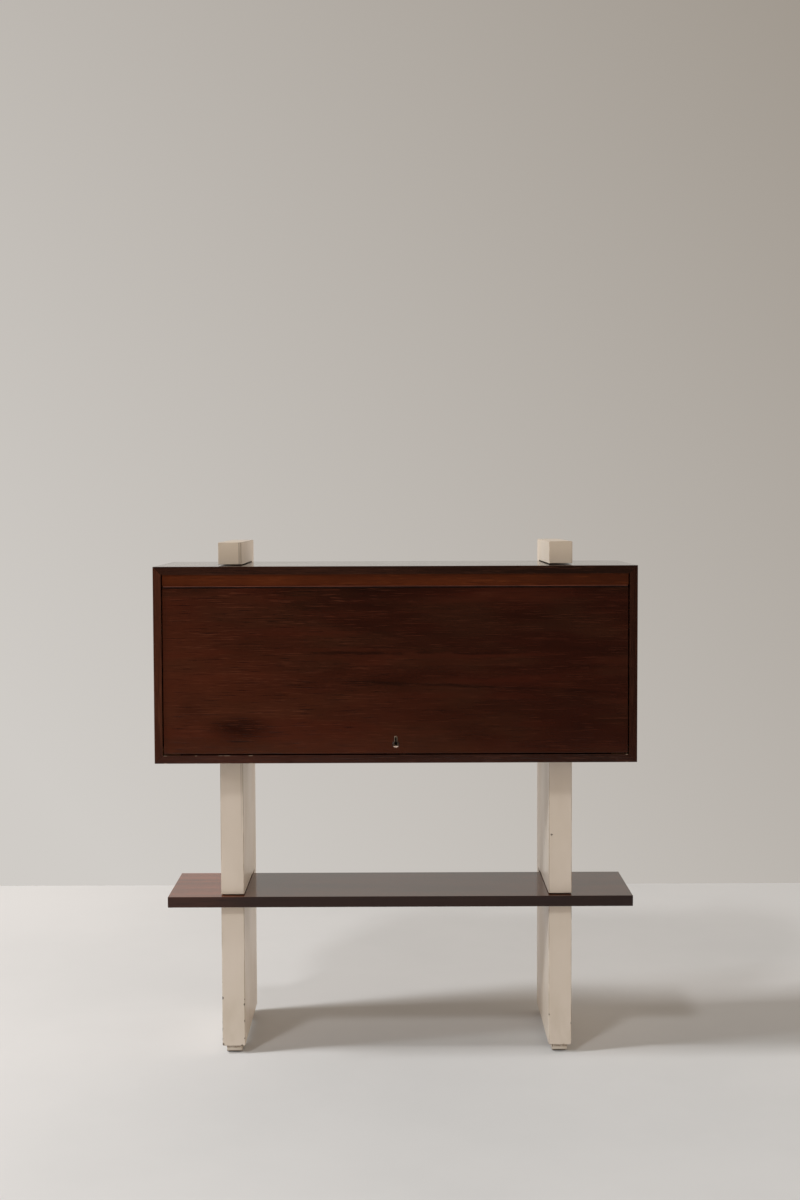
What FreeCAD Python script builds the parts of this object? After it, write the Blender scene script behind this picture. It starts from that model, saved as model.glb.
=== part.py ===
import FreeCAD, Part
import itertools
import math
import os

# Wall unit: two slotted lacquered uprights carry a mitred rosewood case with a
# lift-up flap, and a shelf that slides in the uprights' lower slots.
# Millimetres, +X right, +Y back, +Z up, origin on the floor under the middle.

# Case
case_width = 1200.0
case_height = 490.0
case_depth = 390.0
case_lift = 760.0           # underside of the case above the floor
board = 20.0                # thickness of the mitred boards
case_round = 1.0            # rounding of the case's outer edges
tongue_thickness = 4.0      # loose tongue in each mitre
tongue_width = 14.0
tongue_inset = 11.0         # tongue's middle from the inner corner, along the mitre
tongue_stop = 30.0          # tongue ends short of front and back
rebate = 10.0               # how far the back panel is let into each board
panel_thickness = 6.0
panel_play = 0.5
panel_row_count = 5         # panel screws along the top and along the bottom
panel_column_count = 3      # panel screws up each side
panel_corner_clear = 70.0   # first panel screw from the inside corner

# Uprights
upright_width = 58.0
upright_spacing = 834.0     # centre to centre
upright_setback = 80.0      # upright front behind the case front
spine_depth = 50.0          # stock behind the notches
stub_height = 55.5          # stock over the case
upright_round = 1.5
upright_ease = 4.0          # rounding of the two long edges over the floor
notch_gap = 2.5             # room over the case and over the shelf
case_screw_inset = 60.0     # case screws from the notch's front and back

# Shelf
shelf_width = 1180.0
shelf_depth = 280.0
shelf_thickness = 27.0
shelf_lift = 383.0          # underside of the shelf above the floor
shelf_reach = 18.0          # shelf front ahead of the uprights
shelf_shift = 10.0          # the loose shelf lies a little to the right
shelf_round = 1.0
slot_spare = 48.0           # empty slot behind the shelf

# Feet
foot_width = 39.0
foot_length = 60.0
foot_height = 17.5
foot_setback = 14.0         # from the upright's front and back
foot_round = 1.0
pad_thickness = 3.0
pad_margin = 2.0

# Rail and flap
rail_height = 29.5
rail_thickness = 20.0
dowel_radius = 4.0
dowel_in_board = 12.0
dowel_in_rail = 14.0
dowel_count = 4
dowel_end = 80.0            # outer dowels from the rail's ends
flap_thickness = 18.0
flap_recess = 3.0           # rail and flap front behind the case front
flap_side_gap = 3.0
flap_bottom_gap = 3.5
flap_round = 0.8

# Piano hinge
hinge_gap = 3.0             # between rail and flap
hinge_leaf = 1.2            # leaf thickness
hinge_leaf_width = 15.0
hinge_barrel_radius = 2.6
hinge_pin_radius = 1.25
hinge_pin_play = 0.05
hinge_end = 2.0             # hinge stops short of the flap's ends
hinge_cove_play = 0.4       # room round the barrel in the wooden edges
knuckle_count = 46
knuckle_play = 0.2          # at each end of a knuckle
hinge_screw_line = 9.5      # screw line behind the hinge axis
hinge_screw_count = 12
hinge_screw_end = 24.0

# Flap stays
stay_pivot_back = 11.4      # rivet behind the flap's back face
stay_pivot_drop = 106.0     # rivet below the hinge axis
stay_spread = 34.5          # degrees from rivet to stud, seen from the hinge
flap_opening = 90.0         # degrees
arm_width = 16.0
arm_thickness = 2.5
arm_end = 6.0               # arm's end centre past the slot
arm_play = 0.3              # between the arm and what holds it
stud_radius = 3.0
stud_play = 0.2             # stud in the arm's slot
collar_radius = 6.0
collar_height = 1.7
stay_plate_size = 36.0
stay_plate_thickness = 2.0
stay_screw_reach = 12.0     # plate screws above and below the stud
washer_radius = 7.0
washer_thickness = 1.0
nut_radius = 9.0
nut_height = 6.0
nut_round = 1.0
rivet_radius = 2.5
rivet_play = 0.05
rivet_head_radius = 4.5
rivet_head = 1.5
bracket_thickness = 2.5
bracket_width = 24.0
bracket_height = 40.0
bracket_screw_reach = 13.0

# Lock
key_height = 23.5           # keyhole above the flap's bottom edge
keyhole_radius = 5.7
keyhole_half_slot = 1.9
keyhole_rise = 17.4         # slot's top above the round part's centre
escutcheon_wall = 3.3
escutcheon_depth = 6.0
escutcheon_proud = 0.4
lock_lift = 1.0             # lock above the flap's bottom edge
lock_width = 44.0
lock_height = 46.0
lock_depth = 12.0
lock_wall = 1.5
lock_ear = 14.0
lock_screw_inset = 8.0
bolt_width = 24.0
bolt_nose = 6.0             # nose thickness
bolt_nose_height = 10.0
bolt_web = 3.0
bolt_bridge = 3.0           # stock over the bolt's slot
bolt_throw = 8.0
bolt_play = 0.3
drill_pin_radius = 2.2
drill_pin_play = 0.5
spring_thickness = 0.6
spring_depth = 4.0
spring_end = 7.0            # spring's ends from the lock case's ends
strike_width = 46.0
strike_depth = 16.0
strike_thickness = 1.5
strike_play = 0.8
mortise_depth = 7.0

# Flap stops
stop_width = 40.0
stop_depth = 12.0
stop_height = 18.0
buffer_thickness = 2.0
buffer_margin = 3.0
buffer_play = 0.3

# Countersunk wood screws: shank and head diameters, length
small_screw = 3.0
small_screw_head = 5.6
small_screw_length = 12.0
panel_screw = 3.5
panel_screw_head = 7.0
panel_screw_length = 18.0
frame_screw = 5.0
frame_screw_head = 10.0
frame_screw_length = 45.0
screw_play = 0.05
screw_tip = 0.4             # radius of the blunt tip
driver_slot_share = 0.2     # slot's width and depth, as a share of the head
hole_run_out = 0.5          # hole beyond the screw's tip

# Places that follow from the sizes above
notch_depth = case_depth - upright_setback
slot_depth = shelf_depth - shelf_reach + slot_spare
upright_depth = max(notch_depth, slot_depth) + spine_depth
front = -(upright_setback + upright_depth) / 2
case_back = front + case_depth
upright_front = front + upright_setback
upright_back = upright_front + upright_depth
upright_bottom = foot_height + pad_thickness
case_top_z = case_lift + case_height
half_case = case_width / 2
inner_half = half_case - board
inner_floor = case_lift + board
inner_ceiling = case_top_z - board
panel_front = case_back - panel_thickness
shelf_top = shelf_lift + shelf_thickness
rail_bottom = inner_ceiling - rail_height
flap_top = rail_bottom - hinge_gap
flap_bottom = inner_floor + flap_bottom_gap
flap_front = front + flap_recess
flap_back = flap_front + flap_thickness
flap_half = inner_half - flap_side_gap
hinge_y = flap_front
hinge_z = rail_bottom - hinge_gap / 2
hinge_half = flap_half - hinge_end
lock_bottom = flap_bottom + lock_lift
lock_top = lock_bottom + lock_height
lock_back = flap_back + lock_depth
spindle_z = flap_bottom + key_height
bolt_back = lock_back - lock_wall - bolt_play
bolt_middle_y = bolt_back - bolt_nose / 2

# The stay's rivet Q and stud P lie on one circle about the hinge, so the arm
# turns at half the flap's rate and the stud stays in its slot.
pivot_back = flap_thickness + stay_pivot_back
stay_radius = math.hypot(pivot_back, stay_pivot_drop)
rivet_angle = math.atan2(pivot_back, stay_pivot_drop)
stud_angle = rivet_angle + math.radians(stay_spread)
rivet_y = hinge_y + pivot_back
rivet_z = hinge_z - stay_pivot_drop
stud_y = hinge_y + stay_radius * math.sin(stud_angle)
stud_z = hinge_z - stay_radius * math.cos(stud_angle)
chord_closed = 2 * stay_radius * math.sin(math.radians(stay_spread) / 2)
chord_open = 2 * stay_radius * math.sin(math.radians(stay_spread + flap_opening) / 2)

# Stay stack, as distances from the case side's inner face
collar_top = stay_plate_thickness + collar_height
arm_outer = collar_top + arm_play
arm_inner = arm_outer + arm_thickness
ear_outer = arm_inner + arm_play
ear_inner = ear_outer + bracket_thickness
washer_outer = arm_inner + arm_play
washer_inner = washer_outer + washer_thickness
nut_inner = washer_inner + nut_height

SMALL = (small_screw, small_screw_head, small_screw_length)
PANEL = (panel_screw, panel_screw_head, panel_screw_length)
FRAME = (frame_screw, frame_screw_head, frame_screw_length)
SIDES = {"left": -1, "right": 1}
OVERCUT = 1.0
TOUCH = 1e-6


def box(x0, x1, y0, y1, z0, z1):
    """Block between two corners, in either order of x."""
    low = FreeCAD.Vector(min(x0, x1), y0, z0)
    return Part.makeBox(abs(x1 - x0), y1 - y0, z1 - z0, low)


def prism(points, along):
    """Polygon through the points, pushed along a vector."""
    face = Part.Face(Part.makePolygon(points + points[:1]))
    return face.extrude(along)


def rod(radius, start, end):
    """Round bar between two points."""
    along = end - start
    return Part.makeCylinder(radius, along.Length, start, along)


def spread(low, high, count):
    """Evenly spaced values from low to high."""
    step = (high - low) / (count - 1)
    return [low + step * i for i in range(count)]


def join(shapes):
    """One solid from touching shapes, without seams."""
    return shapes[0].multiFuse(shapes[1:]).removeSplitter()


def round_edges(shape, radius, chosen):
    """Round the edges whose two ends both pass the test."""
    edges = [e for e in shape.Edges if chosen([v.Point for v in e.Vertexes])]
    return shape.makeFillet(radius, edges)


def all_at(points, axis, value):
    return all(abs(getattr(p, axis) - value) < TOUCH for p in points)


def runs_along(points, axis):
    others = [a for a in "xyz" if a != axis]
    return all(all_at(points, a, getattr(points[0], a)) for a in others)


def revolved_bar(outline, at, into):
    """Turn (radius, depth) points into a bar that starts at a point and goes into the wood."""
    points = [FreeCAD.Vector(r, 0, -d) for r, d in outline]
    face = Part.Face(Part.makePolygon(points + points[:1]))
    bar = face.revolve(FreeCAD.Vector(), FreeCAD.Vector(0, 0, 1), 360)
    bar.Placement = FreeCAD.Placement(at, FreeCAD.Rotation(FreeCAD.Vector(0, 0, -1), into))
    return bar


def screw(kind, at, into):
    """Slotted countersunk screw with its head flush at a point."""
    shank, head, length = kind
    sink = (head - shank) / 2
    tip_start = length - shank
    outline = [(0, 0), (head / 2, 0), (shank / 2, sink), (shank / 2, tip_start)]
    outline += [(screw_tip, length), (0, length)]
    bar = revolved_bar(outline, at, into)
    slot = head * driver_slot_share
    groove = box(-head, head, -slot / 2, slot / 2, -slot, slot)
    groove.Placement = bar.Placement
    return bar.cut(groove)


def screw_hole(kind, at, into):
    """Hole that the same screw fits, open past the surface."""
    shank, head, length = kind
    sink = (head - shank) / 2
    wide = head / 2 + screw_play
    narrow = shank / 2 + screw_play
    deep = length + hole_run_out
    outline = [(0, -OVERCUT), (wide, -OVERCUT), (wide, 0), (narrow, sink), (narrow, deep), (0, deep)]
    return revolved_bar(outline, at, into)


def screws(kind, places, into):
    return Part.makeCompound([screw(kind, p, into) for p in places])


def screw_holes(kind, places, into):
    return [screw_hole(kind, p, into) for p in places]


RIGHT = FreeCAD.Vector(1, 0, 0)
FORWARD = FreeCAD.Vector(0, -1, 0)
UP = FreeCAD.Vector(0, 0, 1)
DOWN = FreeCAD.Vector(0, 0, -1)


def upright_x(side):
    return side * upright_spacing / 2


def inward(side, distance):
    """X at a distance inside the case side's inner face."""
    return side * (inner_half - distance)


def foot_spans():
    """Front and back of the front and rear feet."""
    starts = {
        "front": upright_front + foot_setback,
        "rear": upright_back - foot_setback - foot_length,
    }
    return {place: (y, y + foot_length) for place, y in starts.items()}


def foot_screw_places(side):
    rows = [(y0 + y1) / 2 for y0, y1 in foot_spans().values()]
    return [FreeCAD.Vector(upright_x(side), y, pad_thickness) for y in rows]


def case_screw_places(side):
    rows = (upright_front + case_screw_inset, case_back - case_screw_inset)
    return [FreeCAD.Vector(upright_x(side), y, inner_floor) for y in rows]


def upright(side):
    """Slab with a notch that holds the case and a slot that holds the shelf, open to the front."""
    x0 = upright_x(side) - upright_width / 2
    slot_back = upright_front + slot_depth
    notch_top = case_top_z + notch_gap
    outline = [
        (upright_front, upright_bottom), (upright_front, shelf_lift),
        (slot_back, shelf_lift), (slot_back, shelf_top + notch_gap),
        (upright_front, shelf_top + notch_gap), (upright_front, case_lift),
        (case_back, case_lift), (case_back, notch_top),
        (upright_front, notch_top), (upright_front, notch_top + stub_height),
        (upright_back, notch_top + stub_height), (upright_back, upright_bottom),
    ]
    points = [FreeCAD.Vector(x0, y, z) for y, z in outline]
    slab = prism(points, FreeCAD.Vector(upright_width, 0, 0))

    def floor_edge(ends):
        return runs_along(ends, "y") and all_at(ends, "z", upright_bottom)

    def outer_arris(ends):
        upright_edge = runs_along(ends, "z") and not all_at(ends, "y", case_back)
        mouth_edge = all_at(ends, "y", upright_front) and not upright_edge
        top_edge = all_at(ends, "z", notch_top + stub_height)
        in_slot = all_at(ends, "y", slot_back)
        return (upright_edge or mouth_edge or top_edge) and not in_slot

    slab = round_edges(slab, upright_ease, floor_edge)
    slab = round_edges(slab, upright_round, outer_arris)
    holes = screw_holes(FRAME, foot_screw_places(side), UP)
    holes += screw_holes(FRAME, case_screw_places(side), DOWN)
    return slab.cut(holes)


def foot(side, span):
    """Lacquered block, screwed up into the upright."""
    x = upright_x(side)
    half = foot_width / 2
    block = box(x - half, x + half, span[0], span[1], pad_thickness, upright_bottom)
    block = round_edges(block, foot_round, lambda ends: runs_along(ends, "z"))
    return block.cut(screw_holes(FRAME, foot_screw_places(side), UP))


def foot_pad(side, span):
    """Felt pad glued under a foot block."""
    x = upright_x(side)
    half = foot_width / 2 - pad_margin
    return box(x - half, x + half, span[0] + pad_margin, span[1] - pad_margin, 0, pad_thickness)


def case_form():
    """The case's outer form, with its front edges and its four corners rounded."""
    block = box(-half_case, half_case, front, case_back, case_lift, case_top_z)
    return round_edges(block, case_round, lambda ends: all_at(ends, "y", front) or runs_along(ends, "y"))


def mitre_tongues():
    """Four loose tongues, each across a mitre."""
    run = FreeCAD.Vector(0, case_depth - 2 * tongue_stop, 0)
    corners = [(1, inner_ceiling), (-1, inner_floor)]
    tongues = []
    for sx, (sz, corner_z) in itertools.product(SIDES.values(), corners):
        along = FreeCAD.Vector(sx, 0, sz).normalize()
        across = FreeCAD.Vector(sx, 0, -sz).normalize() * (tongue_width / 2)
        thick = along * (tongue_thickness / 2)
        corner = FreeCAD.Vector(sx * inner_half, front + tongue_stop, corner_z)
        middle = corner + along * tongue_inset
        near = middle - thick
        far = middle + thick
        tongues.append(prism([far + across, far - across, near - across, near + across], run))
    return tongues


def panel_reach(play):
    """Half width, lowest and highest z of the back panel's rebate, less a play."""
    reach = rebate - play
    return inner_half + reach, inner_floor - reach, inner_ceiling + reach


def panel_screw_places():
    """Screws round the back panel, over the middle of each board's rebate."""
    wide = inner_half - panel_corner_clear
    low = inner_floor + panel_corner_clear
    high = inner_ceiling - panel_corner_clear
    places = []
    for x in spread(-wide, wide, panel_row_count):
        places += [(x, inner_floor - rebate / 2), (x, inner_ceiling + rebate / 2)]
    for z in spread(low, high, panel_column_count):
        places += [(-inner_half - rebate / 2, z), (inner_half + rebate / 2, z)]
    return [FreeCAD.Vector(x, case_back, z) for x, z in places]


def back_panel():
    half, low, high = panel_reach(panel_play)
    panel = box(-half, half, panel_front, case_back, low, high)
    return panel.cut(screw_holes(PANEL, panel_screw_places(), FORWARD))


def case_board(section, cuts):
    """Mitred board: a section in the XZ plane, run from front to back inside the case's form."""
    points = [FreeCAD.Vector(x, front, z) for x, z in section]
    blank = prism(points, FreeCAD.Vector(0, case_depth, 0)).common(case_form())
    half, low, high = panel_reach(0)
    recess = box(-half, half, panel_front, case_back + OVERCUT, low, high)
    holes = screw_holes(PANEL, panel_screw_places(), FORWARD)
    return blank.cut([recess] + mitre_tongues() + holes + cuts)


def level_section(outer_z, inner_z):
    """Section of the top or bottom board, wide outside and mitred to the inside."""
    outside = [(-half_case, outer_z), (half_case, outer_z)]
    inside = [(inner_half, inner_z), (-inner_half, inner_z)]
    return outside + inside


def case_top():
    return case_board(level_section(case_top_z, inner_ceiling), rail_dowels())


def case_bottom():
    section = level_section(case_lift, inner_floor)
    cuts = [strike_blank(), strike_opening(inner_floor - strike_thickness - mortise_depth)]
    cuts += screw_holes(SMALL, strike_screw_places(), DOWN)
    for side in SIDES.values():
        cuts += screw_holes(FRAME, case_screw_places(side), DOWN)
    return case_board(section, cuts)


def case_side(side):
    outer = side * half_case
    inner = side * inner_half
    section = [(outer, case_lift), (outer, case_top_z), (inner, inner_ceiling), (inner, inner_floor)]
    return case_board(section, screw_holes(SMALL, stay_plate_screw_places(side), RIGHT * side))


def rail_dowels():
    """Glued dowels between the rail and the top board."""
    y = flap_front + rail_thickness / 2
    low = inner_ceiling - dowel_in_rail
    high = inner_ceiling + dowel_in_board
    places = spread(dowel_end - flap_half, flap_half - dowel_end, dowel_count)
    return [rod(dowel_radius, FreeCAD.Vector(x, y, low), FreeCAD.Vector(x, y, high)) for x in places]


def hinge_cove():
    """Room that the wooden edges leave for the hinge barrel."""
    ends = [FreeCAD.Vector(x, hinge_y, hinge_z) for x in (-half_case, half_case)]
    return rod(hinge_barrel_radius + hinge_cove_play, *ends)


def hinge_screw_places(face_z):
    reach = hinge_half - hinge_screw_end
    y = hinge_y + hinge_screw_line
    return [FreeCAD.Vector(x, y, face_z) for x in spread(-reach, reach, hinge_screw_count)]


def rail_screw_places():
    return hinge_screw_places(rail_bottom - hinge_leaf)


def flap_screw_places():
    return hinge_screw_places(flap_top + hinge_leaf)


def top_rail():
    """Fixed rail under the top board, which carries the hinge."""
    rail = box(-flap_half, flap_half, flap_front, flap_front + rail_thickness, rail_bottom, inner_ceiling)
    return rail.cut([hinge_cove()] + rail_dowels() + screw_holes(SMALL, rail_screw_places(), UP))


def hinge_half_leaf(low, high, first_knuckle, bore, holes):
    """Leaf of the piano hinge: a strip with every second knuckle rolled at its front edge."""
    strip_front = hinge_y + hinge_barrel_radius + hinge_cove_play
    pieces = [box(-hinge_half, hinge_half, strip_front, hinge_y + hinge_leaf_width, low, high)]
    pitch = 2 * hinge_half / knuckle_count
    for i in range(first_knuckle, knuckle_count, 2):
        x0 = -hinge_half + pitch * i + knuckle_play
        x1 = -hinge_half + pitch * (i + 1) - knuckle_play
        start = FreeCAD.Vector(x0, hinge_y, hinge_z)
        pieces.append(rod(hinge_barrel_radius, start, FreeCAD.Vector(x1, hinge_y, hinge_z)))
        pieces.append(box(x0, x1, hinge_y + hinge_pin_radius, strip_front, low, high))
    leaf = join(pieces)
    return leaf.cut([hinge_pin(bore)] + holes)


def hinge_rail_leaf():
    holes = screw_holes(SMALL, rail_screw_places(), UP)
    return hinge_half_leaf(rail_bottom - hinge_leaf, rail_bottom, 0, hinge_pin_radius, holes)


def hinge_flap_leaf():
    holes = screw_holes(SMALL, flap_screw_places(), DOWN)
    return hinge_half_leaf(flap_top, flap_top + hinge_leaf, 1, hinge_pin_radius + hinge_pin_play, holes)


def hinge_pin(radius):
    ends = [FreeCAD.Vector(x, hinge_y, hinge_z) for x in (-hinge_half, hinge_half)]
    return rod(radius, *ends)


def keyhole(margin, y0, y1):
    """Keyhole with its slot upwards: a round part below, a round-topped slot above."""
    radius = keyhole_radius + margin
    half = keyhole_half_slot + margin
    neck = spindle_z + math.sqrt(radius ** 2 - half ** 2)
    shoulder = spindle_z + keyhole_rise + margin - half
    left_neck = FreeCAD.Vector(-half, y0, neck)
    right_neck = FreeCAD.Vector(half, y0, neck)
    left_top = FreeCAD.Vector(-half, y0, shoulder)
    right_top = FreeCAD.Vector(half, y0, shoulder)
    bottom = FreeCAD.Vector(0, y0, spindle_z - radius)
    crown = FreeCAD.Vector(0, y0, shoulder + half)
    edges = [
        Part.Arc(right_neck, bottom, left_neck).toShape(),
        Part.LineSegment(left_neck, left_top).toShape(),
        Part.Arc(left_top, crown, right_top).toShape(),
        Part.LineSegment(right_top, right_neck).toShape(),
    ]
    return Part.Face(Part.Wire(edges)).extrude(FreeCAD.Vector(0, y1 - y0, 0))


def flap_panel():
    """Veneered flap, hung from the rail by its top edge."""
    panel = box(-flap_half, flap_half, flap_front, flap_back, flap_bottom, flap_top)

    def front_arris(ends):
        return all_at(ends, "y", flap_front) and not all_at(ends, "z", flap_top)

    panel = round_edges(panel, flap_round, front_arris)
    cuts = [hinge_cove(), keyhole(0, flap_front - OVERCUT, flap_back + OVERCUT)]
    cuts.append(keyhole(escutcheon_wall, flap_front - OVERCUT, flap_front + escutcheon_depth))
    cuts += screw_holes(SMALL, flap_screw_places(), DOWN)
    cuts += screw_holes(SMALL, lock_screw_places(), FORWARD)
    for side in SIDES.values():
        cuts += screw_holes(SMALL, bracket_screw_places(side), FORWARD)
    return panel.cut(cuts)


def escutcheon():
    """Metal keyhole insert driven into the flap's face."""
    face_y = flap_front - escutcheon_proud
    ring = keyhole(escutcheon_wall, face_y, flap_front + escutcheon_depth)
    return ring.cut(keyhole(0, face_y - OVERCUT, flap_back))


def lock_screw_places():
    x = lock_width / 2 + lock_ear / 2
    y = flap_back + lock_wall
    rows = (lock_bottom + lock_screw_inset, lock_top - lock_screw_inset)
    return [FreeCAD.Vector(sx * x, y, z) for sx in SIDES.values() for z in rows]


def lock_plate():
    """Plate against the flap's back, with ears for the screws."""
    half = lock_width / 2 + lock_ear
    plate = box(-half, half, flap_back, flap_back + lock_wall, lock_bottom, lock_top)
    cuts = [keyhole(0, flap_back - OVERCUT, flap_back + lock_wall + OVERCUT)]
    return plate.cut(cuts + screw_holes(SMALL, lock_screw_places(), FORWARD))


def drill_pin():
    """Pin that the key turns on, riveted in the lock case's back."""
    start = FreeCAD.Vector(0, flap_front + escutcheon_depth, spindle_z)
    return rod(drill_pin_radius, start, FreeCAD.Vector(0, lock_back, spindle_z))


def lock_case():
    """Tray over the works, open to the plate, with a way out for the bolt's nose below."""
    half = lock_width / 2
    tray_front = flap_back + lock_wall
    tray = box(-half, half, tray_front, lock_back, lock_bottom, lock_top)
    inside = box(
        lock_wall - half, half - lock_wall, tray_front - OVERCUT, lock_back - lock_wall,
        lock_bottom + lock_wall, lock_top - lock_wall)
    reach = bolt_width / 2 + bolt_play
    mouth = box(
        -reach, reach, bolt_back - bolt_nose - bolt_play, bolt_back + bolt_play,
        lock_bottom - OVERCUT, lock_bottom + 2 * lock_wall)
    return tray.cut([inside, mouth, drill_pin()])


def lock_bolt():
    """Bolt, drawn in: a thick nose below and a slotted web that the drill pin guides."""
    half = bolt_width / 2
    slot_radius = drill_pin_radius + drill_pin_play
    slot_top = spindle_z + bolt_throw
    nose_top = lock_bottom + bolt_nose_height
    web_top = slot_top + slot_radius + bolt_bridge
    nose = box(-half, half, bolt_back - bolt_nose, bolt_back, lock_bottom, nose_top)
    web = box(-half, half, bolt_back - bolt_web, bolt_back, lock_bottom, web_top)
    slot_front = bolt_back - lock_depth
    slot = box(-slot_radius, slot_radius, slot_front, lock_back, spindle_z, slot_top)
    ends = []
    for z in (spindle_z, slot_top):
        start = FreeCAD.Vector(0, slot_front, z)
        ends.append(rod(slot_radius, start, FreeCAD.Vector(0, lock_back, z)))
    return join([nose, web]).cut([slot] + ends)


def bolt_spring():
    """Bow spring between the lock case's side and the bolt's edge."""
    wall_x = lock_width / 2 - lock_wall
    crown_x = bolt_width / 2 + bolt_play
    low = lock_bottom + spring_end
    high = lock_top - spring_end
    y = bolt_back - spring_depth
    middle = (low + high) / 2

    def bow(inset, crown):
        points = [(wall_x, low + inset), (crown, middle), (wall_x, high - inset)]
        return [FreeCAD.Vector(x, y, z) for x, z in points]

    outer = bow(0, crown_x)
    inner = bow(2 * spring_thickness, crown_x + spring_thickness)
    edges = [
        Part.Arc(*outer).toShape(),
        Part.LineSegment(outer[2], inner[2]).toShape(),
        Part.Arc(*inner).toShape(),
        Part.LineSegment(inner[0], outer[0]).toShape(),
    ]
    wire = Part.Wire(Part.__sortEdges__(edges))
    return Part.Face(wire).extrude(FreeCAD.Vector(0, spring_depth, 0))


def strike_blank():
    half = strike_width / 2
    y0 = bolt_middle_y - strike_depth / 2
    return box(-half, half, y0, y0 + strike_depth, inner_floor - strike_thickness, inner_floor)


def strike_opening(low):
    """Way in for the bolt's nose, from the case floor down to a depth."""
    half = bolt_width / 2 + strike_play
    reach = bolt_nose / 2 + strike_play
    return box(-half, half, bolt_middle_y - reach, bolt_middle_y + reach, low, inner_floor + OVERCUT)


def strike_screw_places():
    opening = bolt_width / 2 + strike_play
    x = (opening + strike_width / 2) / 2
    return [FreeCAD.Vector(sx * x, bolt_middle_y, inner_floor) for sx in SIDES.values()]


def strike_plate():
    cuts = [strike_opening(inner_floor - strike_thickness - OVERCUT)]
    return strike_blank().cut(cuts + screw_holes(SMALL, strike_screw_places(), DOWN))


def flap_stop(side):
    """Block on the case floor that the closed flap rests against."""
    y0 = flap_back + buffer_play + buffer_thickness
    return box(
        inward(side, 0), inward(side, stop_width), y0, y0 + stop_depth,
        inner_floor, inner_floor + stop_height)


def stop_buffer(side):
    """Felt between a stop and the flap."""
    y0 = flap_back + buffer_play
    return box(
        inward(side, buffer_margin), inward(side, stop_width - buffer_margin), y0, y0 + buffer_thickness,
        inner_floor + buffer_margin, inner_floor + stop_height - buffer_margin)


def stay_rod(side, radius, outer, inner, y, z):
    """Round bar across the stay's stack, between two distances from the case side."""
    return rod(radius, FreeCAD.Vector(inward(side, outer), y, z), FreeCAD.Vector(inward(side, inner), y, z))


def stay_plate_screw_places(side):
    x = inward(side, stay_plate_thickness)
    return [FreeCAD.Vector(x, stud_y, stud_z + dz) for dz in (-stay_screw_reach, stay_screw_reach)]


def stay_plate(side):
    """Plate on the case side with the stud that runs in the arm's slot."""
    half = stay_plate_size / 2
    plate = box(
        inward(side, 0), inward(side, stay_plate_thickness),
        stud_y - half, stud_y + half, stud_z - half, stud_z + half)
    collar = stay_rod(side, collar_radius, stay_plate_thickness, collar_top, stud_y, stud_z)
    stud = stay_rod(side, stud_radius, stay_plate_thickness, nut_inner, stud_y, stud_z)
    whole = join([plate, collar, stud])
    return whole.cut(screw_holes(SMALL, stay_plate_screw_places(side), RIGHT * side))


def stay_washer(side):
    ring = stay_rod(side, washer_radius, washer_outer, washer_inner, stud_y, stud_z)
    return ring.cut(stay_rod(side, stud_radius, 0, nut_inner, stud_y, stud_z))


def stay_nut(side):
    """Friction nut, turned by hand to hold the flap where it is put."""
    nut = stay_rod(side, nut_radius, washer_inner, nut_inner, stud_y, stud_z)
    nut = nut.makeFillet(nut_round, [e for e in nut.Edges if len(e.Vertexes) == 1])
    return nut.cut(stay_rod(side, stud_radius, 0, nut_inner + OVERCUT, stud_y, stud_z))


def stay_arm(side):
    """Slotted flat arm, from the rivet on the flap past the stud on the case side."""
    along = FreeCAD.Vector(0, stud_y - rivet_y, stud_z - rivet_z).normalize()
    across = FreeCAD.Vector(0, -along.z, along.y)
    rivet = FreeCAD.Vector(inward(side, arm_outer), rivet_y, rivet_z)
    through = FreeCAD.Vector(inward(side, arm_inner) - inward(side, arm_outer), 0, 0)

    def bar(start, end, half):
        """Flat bar with round ends."""
        p = rivet + along * start
        q = rivet + along * end
        side_way = across * half
        edges = [
            Part.LineSegment(p + side_way, q + side_way).toShape(),
            Part.Arc(q + side_way, q + along * half, q - side_way).toShape(),
            Part.LineSegment(q - side_way, p - side_way).toShape(),
            Part.Arc(p - side_way, p - along * half, p + side_way).toShape(),
        ]
        return Part.Face(Part.Wire(edges)).extrude(through)

    arm = bar(0, chord_open + arm_end, arm_width / 2)
    hole = rod(rivet_radius + rivet_play, rivet - through, rivet + through * 2)
    return arm.cut([bar(chord_closed, chord_open, stud_radius + stud_play), hole])


def bracket_screw_places(side):
    x = inward(side, (ear_inner + ear_outer + bracket_width) / 2)
    y = flap_back + bracket_thickness
    return [FreeCAD.Vector(x, y, rivet_z + dz) for dz in (-bracket_screw_reach, bracket_screw_reach)]


def stay_bracket(side):
    """Angle on the flap's back whose ear carries the arm's rivet."""
    half = bracket_height / 2
    ear_half = arm_width / 2
    foot_plate = box(
        inward(side, ear_outer), inward(side, ear_outer + bracket_width),
        flap_back, flap_back + bracket_thickness, rivet_z - half, rivet_z + half)
    ear = box(
        inward(side, ear_outer), inward(side, ear_inner),
        flap_back, rivet_y, rivet_z - ear_half, rivet_z + ear_half)
    nose = stay_rod(side, ear_half, ear_outer, ear_inner, rivet_y, rivet_z)
    whole = join([foot_plate, ear, nose])
    hole = stay_rod(side, rivet_radius, arm_outer, ear_inner + OVERCUT, rivet_y, rivet_z)
    return whole.cut([hole] + screw_holes(SMALL, bracket_screw_places(side), FORWARD))


def stay_rivet(side):
    """Rivet through arm and ear, with a head on each end."""
    head_outer = arm_outer - arm_play
    shank = stay_rod(side, rivet_radius, head_outer, ear_inner, rivet_y, rivet_z)
    outer_head = stay_rod(side, rivet_head_radius, head_outer - rivet_head, head_outer, rivet_y, rivet_z)
    inner_head = stay_rod(side, rivet_head_radius, ear_inner, ear_inner + rivet_head, rivet_y, rivet_z)
    return join([shank, outer_head, inner_head])


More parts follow.
